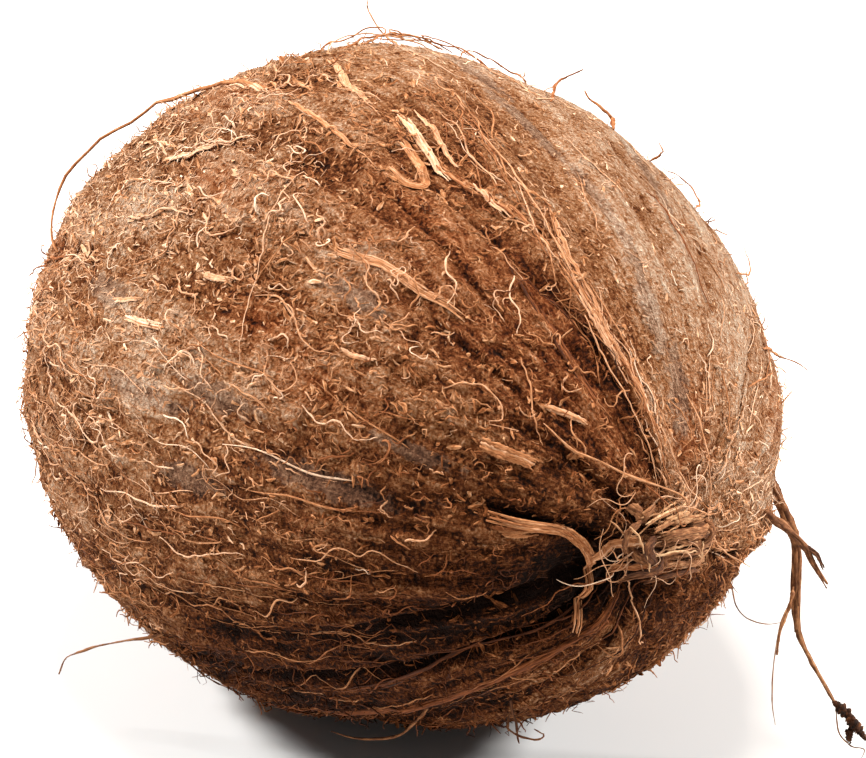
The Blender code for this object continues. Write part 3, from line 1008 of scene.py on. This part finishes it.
# Single loose fibres on the coat: width in mm, tone, and (angle, turn, lift in mm). They are all darkened.
LOOSE_DARKER = 0.22
LOOSE = (
    # over the tuft
    (0.34, 0.80, ((31, 38, 0.2), (26, 39, 0.6), (21, 35, 0.8), (14, 25, 1.0), (10, 7, 1.8),
        (7, -15, 2.2), (7, -55, 1.6), (9, -75, 0.8), (13, -79, 0.2))),
    (0.26, 0.62, ((14, 25, 0.9), (10.5, 21, 1.6), (8, 19, 2.4), (5, 19, 3.0), (3, 60, 3.2), (5, -86, 1.5))),
    (0.26, 0.84, ((21, 2, 0.4), (14, -4, 0.8), (10, -13, 1.2), (8, -19, 2.4), (7, -9, 3.0), (8, 14, 3.2),
        (9, 43, 2.6))),
    (0.30, 0.78, ((25, -17, 0.2), (20, -23, 0.4), (13, -41, 0.5), (8, -73, 0.8), (9, -104, 0.6),
        (13, -117, 0.6), (22, -122, 0.8), (32, -124, 1.6))),
    (0.28, 0.60, ((9, 114, 1.5), (14, 110, 2.2), (20, 107, 1.4), (27, 114, 0.3))),
    (0.20, 0.72, ((15, 36, 0.8), (13, 62, 2.4), (14, 85, 3.2))),
    (0.28, 0.80, ((9, 127, 0.6), (13, 157, 1.4), (19, 167, 1.6), (22, 176, 0.6))),
    (0.24, 0.66, ((13, -118, 0.5), (17, -132, 1.2), (22, -140, 1.6), (30, -140, 1.8))),
    # thin pale curls on the ragged face
    (0.22, 0.86, ((82, 27), (80, 36, 0.4), (77, 42, 0.5), (75, 47, 0.3), (73, 54, 0.4), (70, 62))),
    (0.26, 0.84, ((74, 35), (75, 39, 0.4), (75, 46, 0.5), (77, 49))),
    (0.30, 0.84, ((74, 49), (71, 47, 0.3), (67, 49, 0.4), (65, 51, 0.5), (62, 52, 0.4), (59, 51))),
    (0.30, 0.86, ((98, 92), (94, 94, 0.3), (89, 97, 0.3), (85, 99, 0.3), (81, 98))),
    (0.26, 0.86, ((79, 96), (75, 98, 0.4), (72, 97, 0.4), (68, 95, 0.3), (65, 95))),
    (0.24, 0.76, ((58, 93), (54, 92, 0.5), (51, 88, 0.6), (48, 89, 0.6), (46, 87, 0.4), (43, 90, 0.4),
        (40, 92))),
    (0.24, 0.70, ((80, 107), (76, 109, 0.4), (72, 108, 0.4), (67, 112, 0.3), (63, 113))),
    (0.30, 0.88, ((101, 81), (97, 81, 0.4), (92, 84, 0.5), (90, 81, 0.5), (93, 80, 0.4), (95, 87))),
    (0.24, 0.80, ((40, 28), (37, 31, 0.5), (34, 36, 0.7), (31, 41, 0.5), (29, 44))),
    (0.24, 0.82, ((45, 46), (43, 42, 0.6), (41, 40, 0.8), (38, 41, 0.6), (36, 44, 0.6), (37, 47, 0.6),
        (33, 44))),
    (0.34, 0.90, ((90, 40), (88, 43, 0.3), (86, 44, 0.4), (84, 42, 0.3), (83, 38))),
    (0.30, 0.88, ((95, 44), (93, 46, 0.3), (92, 50, 0.3), (94, 53, 0.4), (97, 54))),
    (0.36, 0.88, ((104, 48), (100, 47, 0.3), (97, 44, 0.4), (94, 43, 0.3), (92, 42))),
    (0.30, 0.86, ((88, 52), (85, 54, 0.4), (82, 54, 0.5), (80, 58, 0.3))),
    (0.30, 0.92, ((78, 60), (76, 62, 0.4), (75, 65, 0.5), (73, 66, 0.3))),
    (0.26, 0.88, ((68, 56), (66, 60, 0.5), (63, 61, 0.5), (62, 58, 0.4), (64, 56, 0.3))),
    (0.26, 0.84, ((60, 62), (57, 64, 0.4), (55, 62, 0.5), (52, 64, 0.4), (49, 62))),
    (0.28, 0.90, ((110, 70), (106, 73, 0.4), (103, 72, 0.4), (99, 75, 0.3), (96, 74))),
    (0.26, 0.86, ((112, 88), (107, 90, 0.4), (104, 93, 0.5), (101, 92, 0.5), (102, 89, 0.4))),
    (0.24, 0.84, ((92, 104), (88, 105, 0.3), (84, 103, 0.4), (80, 104, 0.4), (77, 102))),
    (0.24, 0.80, ((100, 112), (94, 113, 0.4), (88, 112, 0.4), (82, 114))),
    (0.22, 0.78, ((70, 118), (66, 117, 0.4), (62, 119, 0.4), (56, 118))),
    (0.28, 0.88, ((58, 22), (56, 26, 0.5), (53, 27, 0.8), (52, 31, 0.6))),
    (0.26, 0.84, ((50, 16), (48, 20, 0.6), (45, 21, 0.9), (43, 25, 0.6))),
    # along the top keel
    (0.26, 0.84, ((74, 0, 0.2), (67, 1.5, 0.6), (61, 3, 0.8), (54, 4, 0.5), (48, 6, 0.7), (42, 7, 0.5),
        (37, 8, 0.3))),
    (0.22, 0.80, ((52, 4, 0.2), (44, 5, 0.8), (37, 6.5, 1.0), (31, 5.5, 0.8), (25, 6, 0.9), (18, 7, 1.0),
        (11, 9, 0.6))),
    (0.20, 0.86, ((44, 3, 0.2), (36, 3, 0.9), (28, 2, 1.2), (20, 0, 1.2), (12, -6, 0.8))),
    (0.24, 0.76, ((40, 9, 0.2), (32, 11, 0.9), (25, 11, 1.2), (18, 12, 1.2), (10, 18, 1.0))),
    # on the scraped face
    (0.30, 0.72, ((32, -54), (36, -60, 0.4), (40, -65, 0.4), (43, -68))),
    (0.30, 0.60, ((62, -28), (54, -30, 0.3), (46, -31, 0.3), (40, -34))),
    (0.24, 0.82, ((30, -34, 0.2), (23, -42, 0.9), (19, -44, 0.6))),
    (0.24, 0.78, ((24, -8, 0.2), (21, -14, 0.8), (18, -16, 1.0), (16, -12, 0.4))),
    # below the tuft, in the lower furrows
    (0.40, 0.52, ((5, -147, 0.3), (8, 175, 0.6), (11, 160, 0.6), (16, 153, 0.5), (21, 148, 0.4),
        (29, 137, 0.2))),
    (0.30, 0.44, ((10, 178, 0.3), (16, 168, 0.6), (24, 160, 0.5), (34, 152, 0.2))),
    (0.30, 0.54, ((12, 140, 0.4), (18, 138, 0.8), (26, 132, 0.5), (36, 128, 0.2))),
    (0.36, 0.40, ((14, 126, 0.4), (22, 124, 0.8), (32, 120, 0.5), (44, 118, 0.2))),
    # standing off the outline
    (0.90, 0.72, ((104, 15, 0.2), (110, 15.4, 0.3), (116, 16.5, 0.5), (121.5, 19.5, 0.9),
        (125.5, 25, 1.8), (128.5, 32, 2.8), (130, 40, 3.5), (130.5, 48, 3.0), (129, 54, 2.0),
        (126, 58, 0.9), (122, 60, 0.1))),
    (0.50, 0.60, ((116, 59), (120, 61, 0.3), (124, 63, 0.3), (130, 68, 1.8))),
    (0.44, 0.72, ((105, -11), (109, -12, 0.9), (110, -11, 2.4), (111, -10, 5.0), (111, -10, 6.8))),
    (0.55, 0.70, ((83, -23), (88, -28, 1.2), (91, -32, 2.6), (89, -33, 5.1))),
    (0.85, 0.70, ((79, -34), (82, -36, 0.8), (84, -38, 1.3), (85, -37, 1.4), (87, -35, 1.6),
        (88, -34, 2.4))),
    (0.45, 0.70, ((78, -44, 0.2), (77, -44, 2.2), (78, -43, 3.2))),
    (0.50, 0.60, ((44, -62), (48, -68, 0.4), (50, -72, 0.7), (49, -73, 2.2), (48, -76, 4.7))),
    (0.40, 0.60, ((119, 74), (123, 77, 0.4), (127, 79, 0.8), (127, 81, 3.0))),
    (0.55, 0.70, ((111, -4), (111, -7, 0.6), (111, -11, 1.0), (108, -14, 1.4), (105, -17, 1.3),
        (103, -20, 0.3))),
    (0.45, 0.70, ((107, -5), (108, -9, 0.8), (109, -13, 1.7), (106, -16, 1.4), (105, -19, 0.4))),
    (0.36, 0.72, ((101, -14, 0.3), (104, -10, 1.2), (108, -6, 1.8), (109, -1, 1.4), (106, 2, 0.4))),
    (0.34, 0.74, ((103, -18, 0.3), (105, -13, 1.6), (104, -8, 2.4), (102, -9, 1.8), (103, -14, 0.8))),
    (0.40, 0.68, ((112, 0, 0.2), (112, -5, 1.3), (110, -9, 2.2), (107, -10, 2.0), (105, -7, 1.0))),
    (0.32, 0.72, ((99, -20, 0.3), (101, -17, 1.5), (104, -15, 1.9), (106, -17, 1.2), (104, -20, 0.4))),
    (0.45, 0.64, ((97, -22, 0.2), (99, -21, 0.9), (103, -19, 1.1), (107, -14, 0.9), (110, -8, 0.4))),
    (0.40, 0.68, ((92, -26, 0.2), (95, -25, 1.0), (97, -22, 1.5), (98, -18, 1.0), (96, -15, 0.3))),
    (0.40, 0.68, ((66, -46, 0.2), (68, -48, 1.0), (71, -48, 1.6), (73, -46, 1.2), (74, -43, 0.4))),
    (0.36, 0.70, ((56, -54, 0.2), (57, -57, 1.1), (60, -58, 1.9), (62, -56, 2.2))),
)

# Strands that leave the nut: width in mm, threads, tone, and (x, y, z) in mm from its middle.
HUNG = (
    (1.9, 7, 0.40, ((47, 26, 0), (50, 29, -4), (52, 31, -10), (53, 32, -14), (54, 31.5, -22),
        (55, 31.5, -28))),
    (1.0, 4, 0.46, ((53, 32, -14), (54, 31.5, -20), (55, 31.5, -27), (57, 33, -32), (59, 35, -37),
        (60, 35.5, -39))),
    (1.3, 5, 0.38, ((52, 22, -2), (54, 24, -5), (54.5, 27, -8), (55, 31, -12), (56, 33, -16),
        (57.5, 34.5, -19.5))),
    (0.9, 3, 0.24, ((54.6, 31, -12.5), (56, 33, -14), (57, 34.2, -17))),
    (0.28, 1, 0.50, ((56, 29, -20), (57, 26, -23), (57, 25, -29), (57, 25, -35), (58, 25, -39))),
    (0.7, 1, 0.44, ((55, 30, -19), (56.5, 28, -21), (57, 26, -24), (57, 25.5, -28))),
    (0.26, 1, 0.50, ((60, 35, -38), (61, 35, -42), (62.5, 36, -44), (64, 37.5, -44.5), (64, 37, -46))),
    (0.22, 1, 0.55, ((45, 27, -22), (50, 24, -23), (54, 25, -24), (57, 27, -23))),
    # at the lower outline
    (0.45, 1, 0.36, ((-1, -41, -27), (-4, -43, -30), (-9, -47, -32), (-13, -50, -34), (-16, -52, -36),
        (-17, -53, -39))),
    (0.35, 1, 0.34, ((-2, -41, -28), (0, -42, -31), (3, -39, -35), (8, -37, -36))),
    (0.50, 1, 0.34, ((38, -23, -28), (37, -24, -31), (34, -26, -35), (30, -30, -36), (26, -32, -36))),
    (0.50, 1, 0.34, ((45, -14, -24), (46, -15, -27), (46, -14, -31), (46, -13, -35))),
    (0.40, 1, 0.34, ((45, -14, -29), (46, -15, -32), (49, -13, -33), (49, -11, -33), (48, -12, -32))),
)

# The clod at the end of the hanging strand: short lumpy strands, width in mm, tone, (x, y, z) in mm.
CLOD = (
    (1.7, 0.16, ((59.6, 35, -38), (61, 35.5, -38.6), (62.3, 36.2, -39.6), (63.2, 36.8, -41))),
    (2.3, 0.14, ((61.6, 35.8, -39.4), (62.8, 36.6, -40.8), (64, 37.4, -42.4))),
    (1.2, 0.18, ((62.4, 36.2, -41), (62.2, 36, -42.6), (62.4, 36, -44))),
    (1.0, 0.20, ((63.2, 36.8, -41.8), (64.6, 38, -43), (65.4, 38.8, -43.6))),
)


def make_straps(material):
    """The straps and the ropes along the keels, as bundles of threads."""
    rng = np.random.default_rng(61)
    groups = [
        bundle(rng, laid_route, points, width, threads, tone, ragged, lift)
        for width, threads, tone, ragged, lift, points in STRAPS
    ]
    for keel, width, threads, tone, route in ROPES:
        points = [(angle, keel(angle) + offset) for angle, offset in route]
        groups.append(bundle(
            rng, laid_route, points, width, threads, tone, ragged=0.4, lift=-0.15, lumps=0.3, flat=0.7,
            roped=width > FLAT_UP_TO,
        ))
    make_strands("torn_straps", joined(groups), 6, material, rough=0.35)


def make_loose_strands(material):
    """The single loose fibres, each on its own route."""
    rng = np.random.default_rng(62)
    groups = [
        bundle(rng, laid_route, points, width, 1, tone - LOOSE_DARKER, lift=0.12, flat=0.7)
        for width, tone, points in LOOSE
    ]
    make_strands("loose_fibres", joined(groups), 6, material, rough=0.3)


def make_hanging_strands(material):
    """The strands that hang from the eye end and stick out at the lower outline, with the clod on one."""
    rng = np.random.default_rng(63)
    groups = [
        bundle(rng, hung_route, points, width, threads, tone, 0.12, lumps=0.4, flat=0.9, roped=threads > 2)
        for width, threads, tone, points in HUNG
    ]
    groups += [
        bundle(rng, hung_route, points, width, 5, tone, 0.3, lumps=0.6, flat=0.9, roped=True)
        for width, tone, points in CLOD
    ]
    make_strands("hanging_strands", joined(groups), 6, material, rough=0.25)


def eye_end(y, z):
    """Distance of the ovoid's surface from its middle along +X, at y and z in metres from the long axis."""
    narrow = 1 - TAPER
    return HALF_LENGTH * np.sqrt(1 - (y / HALF_WIDTH / narrow) ** 2 - (z / HALF_HEIGHT / narrow) ** 2)


# The tuft over the eyes: sticks and torn strands that bridge the eye end, as in HUNG but all darkened.
TUFT_DARKER = 0.06
TUFT = (
    (1.5, 4, 0.52, ((62.6, 6.6, 0.6), (64.5, 3.6, 1.2), (65.5, 0, 2.4), (65.8, -2.9, 2.9),
        (65.2, -4.6, 2.6))),
    (0.5, 1, 0.80, ((64.5, 2.8, -0.2), (65.5, -1.7, 0.8), (65, -4.7, 0.4))),
    (0.9, 3, 0.46, ((62.6, 6, -3), (63.8, 4, -1.9), (64.8, -0.1, -0.8), (65, -3.8, -0.4),
        (64.3, -5, -1.2))),
    (0.6, 2, 0.62, ((62.5, 6.2, -4.6), (64, 3, -3.6), (64.6, -0.6, -2.4), (64.8, -3.8, -1.9),
        (64.2, -6.6, -2.4))),
    (0.7, 2, 0.40, ((62.4, 5.2, -5.6), (63.4, 1.6, -4.6), (63.6, -2, -4.2), (63, -5.6, -4.4))),
    (0.7, 2, 0.66, ((62.8, 5.4, 2.6), (64.2, 2, 3.6), (65, -1.6, 4.4), (65, -5.4, 5.2))),
    (0.8, 2, 0.44, ((63, 6.8, -1.4), (64, 3.4, -0.6), (64.8, 0, 1.2), (64.8, -4, 1.8), (64.2, -7, 2.8))),
    # torn ends that curl over on the viewer's side
    (1.3, 4, 0.38, ((64.6, -4.4, 2.6), (65.6, -6.4, 2.9), (66, -7.2, 1.7), (65.6, -5.9, -0.2),
        (65, -6.4, -0.8))),
    (1.0, 3, 0.46, ((65, -6, -0.4), (64.4, -7.2, 0.2), (63.4, -8, 1.4), (62.6, -8.6, 2.6))),
    (1.1, 4, 0.40, ((64.8, -3.6, 0.4), (65.4, -4.1, -1.2), (65.6, -5.7, -1.7), (65.2, -8.3, -1.6),
        (63.5, -11.4, -2.3))),
    (1.2, 3, 0.50, ((62.6, -8.4, 8), (63.6, -7.4, 7.1), (64.4, -7.1, 6.4), (64.5, -6, 6.9),
        (63.6, -4.2, 7.2))),
    (0.7, 2, 0.44, ((64.6, -6.8, 6), (64.9, -8.6, 5.6), (64.8, -9.8, 4.8), (64, -9.6, 2.5),
        (63.4, -8.6, 0.6))),
    # strands that fan down from the keel
    (0.6, 2, 0.60, ((62.8, 3.6, 4.6), (64, 1.2, 4.4), (65.4, -3.2, 4.9), (66, -6.6, 4.6))),
    (0.5, 2, 0.66, ((62.6, 2.4, 6.4), (63.8, 0.6, 5.7), (65.2, -4.3, 6.1), (65.4, -7.4, 5.5))),
    (0.4, 1, 0.84, ((62, 2.6, 8), (63.4, 0.4, 6.7), (64.8, -3.4, 6.6), (65, -7.6, 6.4))),
    (0.6, 2, 0.74, ((64.4, 1.4, 5), (65.4, -1.6, 5.4), (65.4, -4.6, 5.3))),
    (0.4, 1, 0.70, ((62.6, 2.8, 7), (64, 1.4, 5), (65.6, -1.2, 4.1), (66.4, -5.4, 4.2))),
    # the swirl at the root, and pale hairs before it
    (0.9, 3, 0.48, ((63.4, 4.4, 2), (64.4, 5.2, 1.4), (64.6, 5.2, 0.2), (64.2, 4.3, -0.6),
        (63.6, 3.4, -0.4))),
    (0.3, 1, 0.90, ((64.5, 3.9, -0.4), (65.4, 3, -1.3), (65, 3.6, -3.2))),
    (0.35, 1, 0.84, ((65.4, -6.6, 0.2), (66.3, -4.4, 0.8), (66.2, -2, 0.7), (65.5, 0.5, -0.7),
        (64.6, 2.6, -1.6), (64, 4.3, -3.3))),
    (0.3, 1, 0.78, ((65.2, -9.8, 6), (66, -8.6, 4), (66.2, -7.6, 1.4), (66, -6.8, -1), (65, -6, -2.6))),
    (0.3, 1, 0.72, ((63, -11.4, 6.4), (64.4, -10.4, 5), (65, -9.2, 4.4), (65.4, -7.6, 4.9), (65.6, -6, 6))),
)


def tuft_strands(rng, count, thick, tone, steps):
    """Strands that bridge the eye end from their root on the far side. Across the tuft each keeps its row,
    which fans out from the root to the torn end, where the strand curls over."""
    share = np.linspace(0, 1, steps)
    row = rng.uniform(-1, 1, (count, 1))
    reach = rng.uniform(0.5, 1.0, (count, 1))
    at = share * reach
    y = (7.4 - 14.5 * at + rng.normal(0, 0.5, (count, 1))) * MM
    z = ((-1.6 + 2.6 * row) * (1 - at) + (1.4 + 3.2 * row) * at) * MM
    z += rng.normal(0, 0.35, (count, 1)) * MM * np.sin(FULL_TURN * (at * rng.uniform(0.6, 1.8, (count, 1))))
    curl = rng.normal(0.4, 1.1, (count, 1)) * MM * ramp_up(at, 0.7, 1.0) ** 1.5
    stand = rng.uniform(0.0, 1.0, (count, 1)) * (1 - 0.55 * row**2) * 2.2 * MM
    x = eye_end(y, z) - 0.6 * MM + stand * np.sin(math.pi * (0.12 + 0.66 * at)) - 0.6 * np.abs(curl)
    routes = MIDDLE + np.stack([x, y - 0.3 * np.abs(curl), z - curl], axis=-1)
    radius = rng.uniform(*thick, (count, 1)) * MM * taper(steps, 0.7, 0.6)
    tones = np.clip(rng.normal(tone, 0.13, count), 0.05, 0.98)
    return Strands(routes, np.array([1.0, 0, 0]), radius * 1.2, radius * 0.8, tones)


def make_tuft(material):
    """The tuft over the eyes: its sticks and torn ends, with finer strands between and under them."""
    rng = np.random.default_rng(71)
    groups = [
        bundle(rng, hung_route, points, width, threads, tone - TUFT_DARKER, 0.15, lumps=0.35, flat=0.8)
        for width, threads, tone, points in TUFT
    ]
    groups.append(tuft_strands(rng, 84, (0.06, 0.22), 0.36, BUNDLE_STEPS))
    make_strands("stem_tuft", joined(groups), 6, material, rough=0.2)


def make_tuft_hairs(material):
    """Fine pale hairs tangled over the tuft: each wanders from its root with a bearing that turns and
    swings, in the plane across the long axis, and bows off the tuft."""
    rng = np.random.default_rng(72)
    count, steps = 42, 22
    share = np.linspace(0, 1, steps)
    bearing = rng.uniform(0, FULL_TURN, (count, 1)) + np.radians(rng.normal(0, 130, (count, 1))) * share
    bearing = bearing + rng.uniform(0.2, 0.9, (count, 1)) * np.sin(
        FULL_TURN * rng.uniform(0.8, 2, (count, 1)) * share + rng.uniform(0, 6.3, (count, 1)),
    )
    stride = rng.uniform(3.5, 12, (count, 1)) * MM / steps
    y = rng.normal(-3, 4.2, (count, 1)) * MM + np.cumsum(np.cos(bearing) * stride, axis=1)
    z = rng.normal(2, 4.0, (count, 1)) * MM + np.cumsum(np.sin(bearing) * stride, axis=1)
    over = bell(np.hypot(y + 1 * MM, z), 8 * MM) * 2.2 * MM
    rise = rng.uniform(0.2, 2.4, (count, 1)) * MM * np.sin(math.pi * share * rng.uniform(0.6, 1, (count, 1)))
    routes = MIDDLE + np.stack([eye_end(y, z) + 0.2 * MM + over * share**0.3 + rise, y, z], axis=-1)
    radius = rng.uniform(0.05, 0.11, (count, 1)) * MM * taper(steps, 0.7, 0.5)
    tones = np.clip(rng.normal(0.64, 0.12, count), 0.3, 0.98)
    make_strands("tuft_hairs", Strands(routes, np.array([1.0, 0, 0]), radius, radius, tones), 5, material)


# ---------------------------------------------------------------- assembly

FLAKES_EACH, STUBBLE_EACH = 8200, 3800  # in each of their pieces
coir, crumb, fibre, wood = coir_mat(), coir_crumb(), coir_fibre(), woody_strand()
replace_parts(make_coat(coir), "coconut")
for number in range(3):
    make_flakes(f"torn_flakes_{number + 1}", 200 + number, FLAKES_EACH, crumb)
for number in range(2):
    make_stubble(f"stubble_{number + 1}", 100 + number, STUBBLE_EACH, fibre)
make_standing_hairs(fibre)
make_curls(fibre)
make_keel_strands(fibre)
make_straps(fibre)
make_loose_strands(fibre)
make_hanging_strands(wood)
make_tuft(wood)
make_tuft_hairs(fibre)


# ---------------------------------------------------------------- floor, light and camera

FLOOR_REACH = 3.0  # from the origin to each side of the board


def make_floor(material):
    """A flat square board, four corners about the nut, well past what the camera sees."""
    corners = ((-1, -1), (1, -1), (1, 1), (-1, 1))
    mesh = bpy.data.meshes.new("floor")
    mesh.from_pydata([(x * FLOOR_REACH, y * FLOOR_REACH, 0) for x, y in corners], [], [(0, 1, 2, 3)])
    mesh.materials.append(material)
    made = bpy.data.objects.new("floor", mesh)
    bpy.context.scene.collection.objects.link(made)


def direction(azimuth, elevation):
    """Unit vector towards a viewer who looks at the object from this azimuth and elevation."""
    a, e = math.radians(azimuth), math.radians(elevation)
    return Vector((math.sin(a) * math.cos(e), -math.cos(a) * math.cos(e), math.sin(e)))


def aimed(obj, place, target):
    """Puts a lamp or camera at a place, looking at the target."""
    obj.location = place
    obj.rotation_euler = (Vector(target) - Vector(place)).to_track_quat("-Z", "Y").to_euler()
    bpy.context.scene.collection.objects.link(obj)
    return obj


def make_lamp(name, azimuth, elevation, distance, size, watts, colour):
    """A square soft box."""
    lamp = bpy.data.lights.new(name, "AREA")
    lamp.shape = "SQUARE"
    lamp.size = size
    lamp.energy = watts
    lamp.color = linear(colour)[:3]
    middle = Vector(MIDDLE)
    aimed(bpy.data.objects.new(name, lamp), middle + direction(azimuth, elevation) * distance, middle)


CAMERA_AZIMUTH, CAMERA_ELEVATION, CAMERA_DISTANCE = 54.4, 23.1, 0.46
LENS, SENSOR_WIDTH = 126.0, 36.0  # in mm
# The nut sits a little left of and below the middle of the view.
AIM_RIGHT, AIM_UP = 3.8 * MM, 2.15 * MM


def make_camera():
    """A long lens at the height of a person who bends to the table."""
    back = direction(CAMERA_AZIMUTH, CAMERA_ELEVATION)
    right = Vector((math.cos(math.radians(CAMERA_AZIMUTH)), math.sin(math.radians(CAMERA_AZIMUTH)), 0))
    up = back.cross(right)
    target = Vector(MIDDLE) + right * AIM_RIGHT + up * AIM_UP
    camera = bpy.data.cameras.new("camera")
    camera.sensor_width = SENSOR_WIDTH
    camera.lens = LENS
    camera.clip_start = 0.01
    made = bpy.data.objects.new("camera", camera)
    bpy.context.scene.camera = aimed(made, target + back * CAMERA_DISTANCE, target)


# Soft boxes: azimuth and elevation, distance, width, watts and colour.
LAMPS = (
    ("overhead_soft_box", 60, 83, 1.1, 0.26, 13.5, "#FFF6EC"),
    ("left_soft_box", -45, 38, 1.2, 0.26, 30, "#FFFFFF"),
    ("right_soft_box", 148, 30, 1.2, 0.26, 28, "#FFFFFF"),
)
ROOM_LIGHT = 0.17  # from the pale room all round


def light_room():
    """An even pale light from all round."""
    world = bpy.data.worlds.new("studio")
    world.use_nodes = True
    background = world.node_tree.nodes["Background"]
    background.inputs["Color"].default_value = (1, 1, 1, 1)
    background.inputs["Strength"].default_value = ROOM_LIGHT
    bpy.context.scene.world = world


make_floor(studio_board())
for lamp_settings in LAMPS:
    make_lamp(*lamp_settings)
light_room()
bpy.context.scene.view_settings.view_transform = "Standard"
make_camera()
